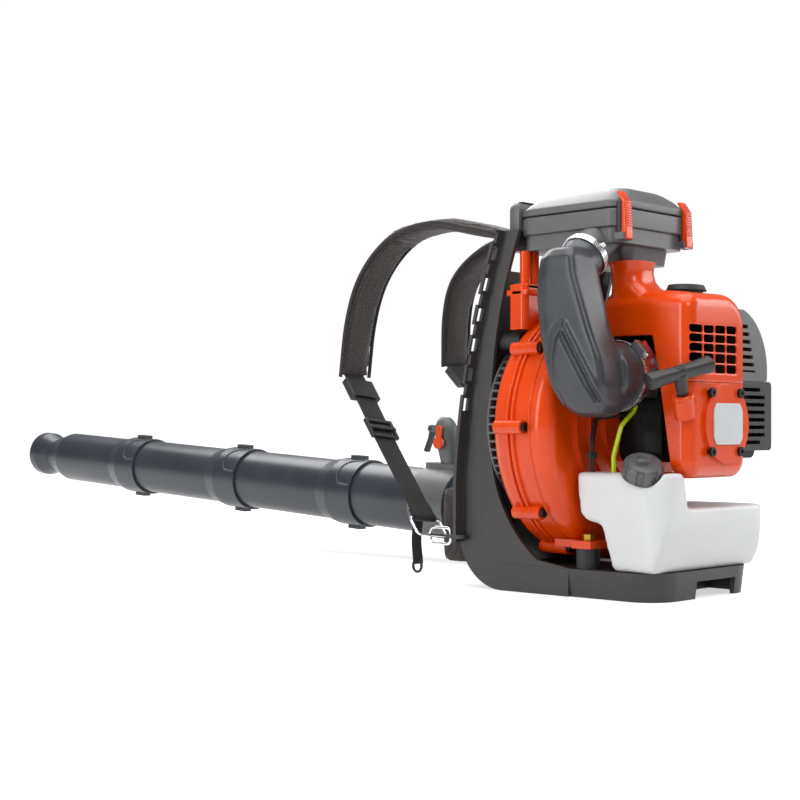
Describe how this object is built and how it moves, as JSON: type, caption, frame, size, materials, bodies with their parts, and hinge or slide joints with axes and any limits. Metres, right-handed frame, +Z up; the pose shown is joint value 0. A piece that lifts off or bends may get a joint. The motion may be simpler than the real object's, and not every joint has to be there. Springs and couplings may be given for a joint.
{
  "type": "backpack leaf blower",
  "caption": "Backpack leaf blower with a scroll fan, rear two-stroke engine, padded carrier frame and a swivelling blower tube with control handle.",
  "frame": {"origin": "On the ground under the crankshaft, on the underside of the base's middle rib", "axes": "+X to the wearer's left, +Y to the rear where the engine is, +Z up"},
  "size_m": [0.4406, 1.8616, 0.525],
  "materials": {
    "frame_plastic": "textured dark grey moulding",
    "orange_plastic": "gloss orange moulding",
    "grey_plastic": "satin grey moulding",
    "black_plastic": "satin black moulding",
    "tube_plastic": "satin blue-black moulding",
    "rubber": "matt black rubber",
    "steel": "plain steel",
    "chrome": "bright plated steel",
    "brass": "yellow plated steel",
    "alloy": "cast",
    "silver_plate": "brushed silver plate, blank",
    "tank_plastic": "milky translucent moulding",
    "fuel_hose": "clear yellow-green hose",
    "red_plastic": "red moulding",
    "fabric": "padded brown-black fabric",
    "webbing": "woven black webbing",
    "paper": "pleated paper"
  },
  "bodies": {
    "frame": {"carrier_frame": "frame_plastic", "fan_housing_front": "orange_plastic", "fan_housing_rear": "orange_plastic", "seam_screws": "steel", "inlet_grille": "black_plastic", "rubber_mounts": "rubber", "mount_bolts": "brass", "crankcase": "alloy", "cylinder": "alloy", "piston": "alloy", "spark_plug": "steel", "plug_cover": "black_plastic", "engine_cover": "orange_plastic", "starter_housing": "orange_plastic", "starter_screws": "steel", "badge_plate": "silver_plate", "starter_rope": "webbing", "muffler": "steel", "heat_shield": "black_plastic", "muffler_guard": "grey_plastic", "carburettor": "alloy", "intake_elbow": "rubber", "upper_hose_clamp": "steel", "lower_hose_clamp": "steel", "filter_box": "grey_plastic", "filter_cover": "grey_plastic", "filter_element": "paper", "filter_posts": "black_plastic", "fuel_tank": "tank_plastic", "fuel_line": "fuel_hose", "stop_wires": "rubber", "back_pad": "fabric", "hip_pad": "fabric", "shoulder_pads": "fabric", "strap_webbing": "webbing", "strap_buckles": "black_plastic", "pull_rings": "black_plastic", "strap_rings": "chrome", "snap_hooks": "chrome"},
    "rotor": {"impeller": "black_plastic", "crankshaft": "steel", "starter_cup": "steel"},
    "pulley": {"starter_pulley": "black_plastic"},
    "pull_handle": {"starter_handle": "black_plastic"},
    "cap": {"fuel_cap": "black_plastic"},
    "choke": {"choke_lever": "red_plastic"},
    "latch_a": {"left_latch": "orange_plastic"},
    "latch_b": {"right_latch": "orange_plastic"},
    "elbow": {"outlet_elbow": "tube_plastic", "elbow_clamp": "steel", "bellows": "rubber"},
    "tube": {"tube_clamp": "steel", "swivel_tube": "tube_plastic", "mid_tube": "tube_plastic", "front_tube": "tube_plastic", "nozzle": "tube_plastic"},
    "handle": {"handle_clamp": "grey_plastic", "handle_grip": "grey_plastic"},
    "trigger": {"throttle_trigger": "black_plastic"},
    "lever": {"cruise_lever": "orange_plastic"}
  },
  "joints": [
    {"name": "rotor_spin", "type": "hinge", "parent": "frame", "child": "rotor", "pos_m": [0, 0, 0.221], "axis": [0, 1, 0], "continuous": true},
    {"name": "starter_pull", "type": "slide", "parent": "frame", "child": "pull_handle", "axis": [0.3606, 0.098, 0.9275], "range_m": [0, 0.75], "stiffness_N_per_m": 30, "springref_m": -0.4, "deforming": ["starter_rope"]},
    {"name": "pulley_turn", "type": "hinge", "parent": "frame", "child": "pulley", "pos_m": [0, 0.164, 0.221], "axis": [0, -1, 0], "range_deg": [0, 1600]},
    {"name": "fuel_cap_turn", "type": "hinge", "parent": "frame", "child": "cap", "pos_m": [0.104, 0.141, 0.156], "axis": [0.3404, 0.4205, 0.841], "range_deg": [0, 180]},
    {"name": "choke_turn", "type": "hinge", "parent": "frame", "child": "choke", "pos_m": [0.06, 0.125, 0.3], "axis": [0, -1, 0], "range_deg": [0, 40]},
    {"name": "left_latch_turn", "type": "hinge", "parent": "frame", "child": "latch_a", "pos_m": [0.094, 0.111, 0.457], "axis": [-1, 0, 0], "range_deg": [0, 100]},
    {"name": "right_latch_turn", "type": "hinge", "parent": "frame", "child": "latch_b", "pos_m": [-0.041, 0.111, 0.457], "axis": [-1, 0, 0], "range_deg": [0, 100]},
    {"name": "tube_pitch", "type": "hinge", "parent": "frame", "child": "elbow", "pos_m": [-0.113, -0.004, 0.066], "axis": [-1, 0, 0], "range_deg": [-40, 60]},
    {"name": "tube_yaw", "type": "hinge", "parent": "elbow", "child": "tube", "pos_m": [-0.197, -0.15673, 0.07507], "axis": [0, 0.0593, 0.9982], "range_deg": [-25, 4], "stiffness_Nm_per_rad": 14, "deforming": ["bellows"]},
    {"name": "handle_slide", "type": "slide", "parent": "tube", "child": "handle", "axis": [0, -0.9982, 0.0593], "range_m": [-0.12, 0.12]},
    {"name": "trigger_pull", "type": "hinge", "parent": "handle", "child": "trigger", "pos_m": [-0.197, -0.48694, 0.21621], "axis": [1, 0, 0], "range_deg": [0, 18], "stiffness_Nm_per_rad": 0.3, "springref_deg": -20.05},
    {"name": "cruise_lever_turn", "type": "hinge", "parent": "handle", "child": "lever", "pos_m": [-0.177, -0.45529, 0.19249], "axis": [1, 0, 0], "range_deg": [0, 60]}
  ],
  "couplings": [
    {"joint": "pulley_turn", "follows": "starter_pull", "rad_per_m": 35.714}
  ]
}
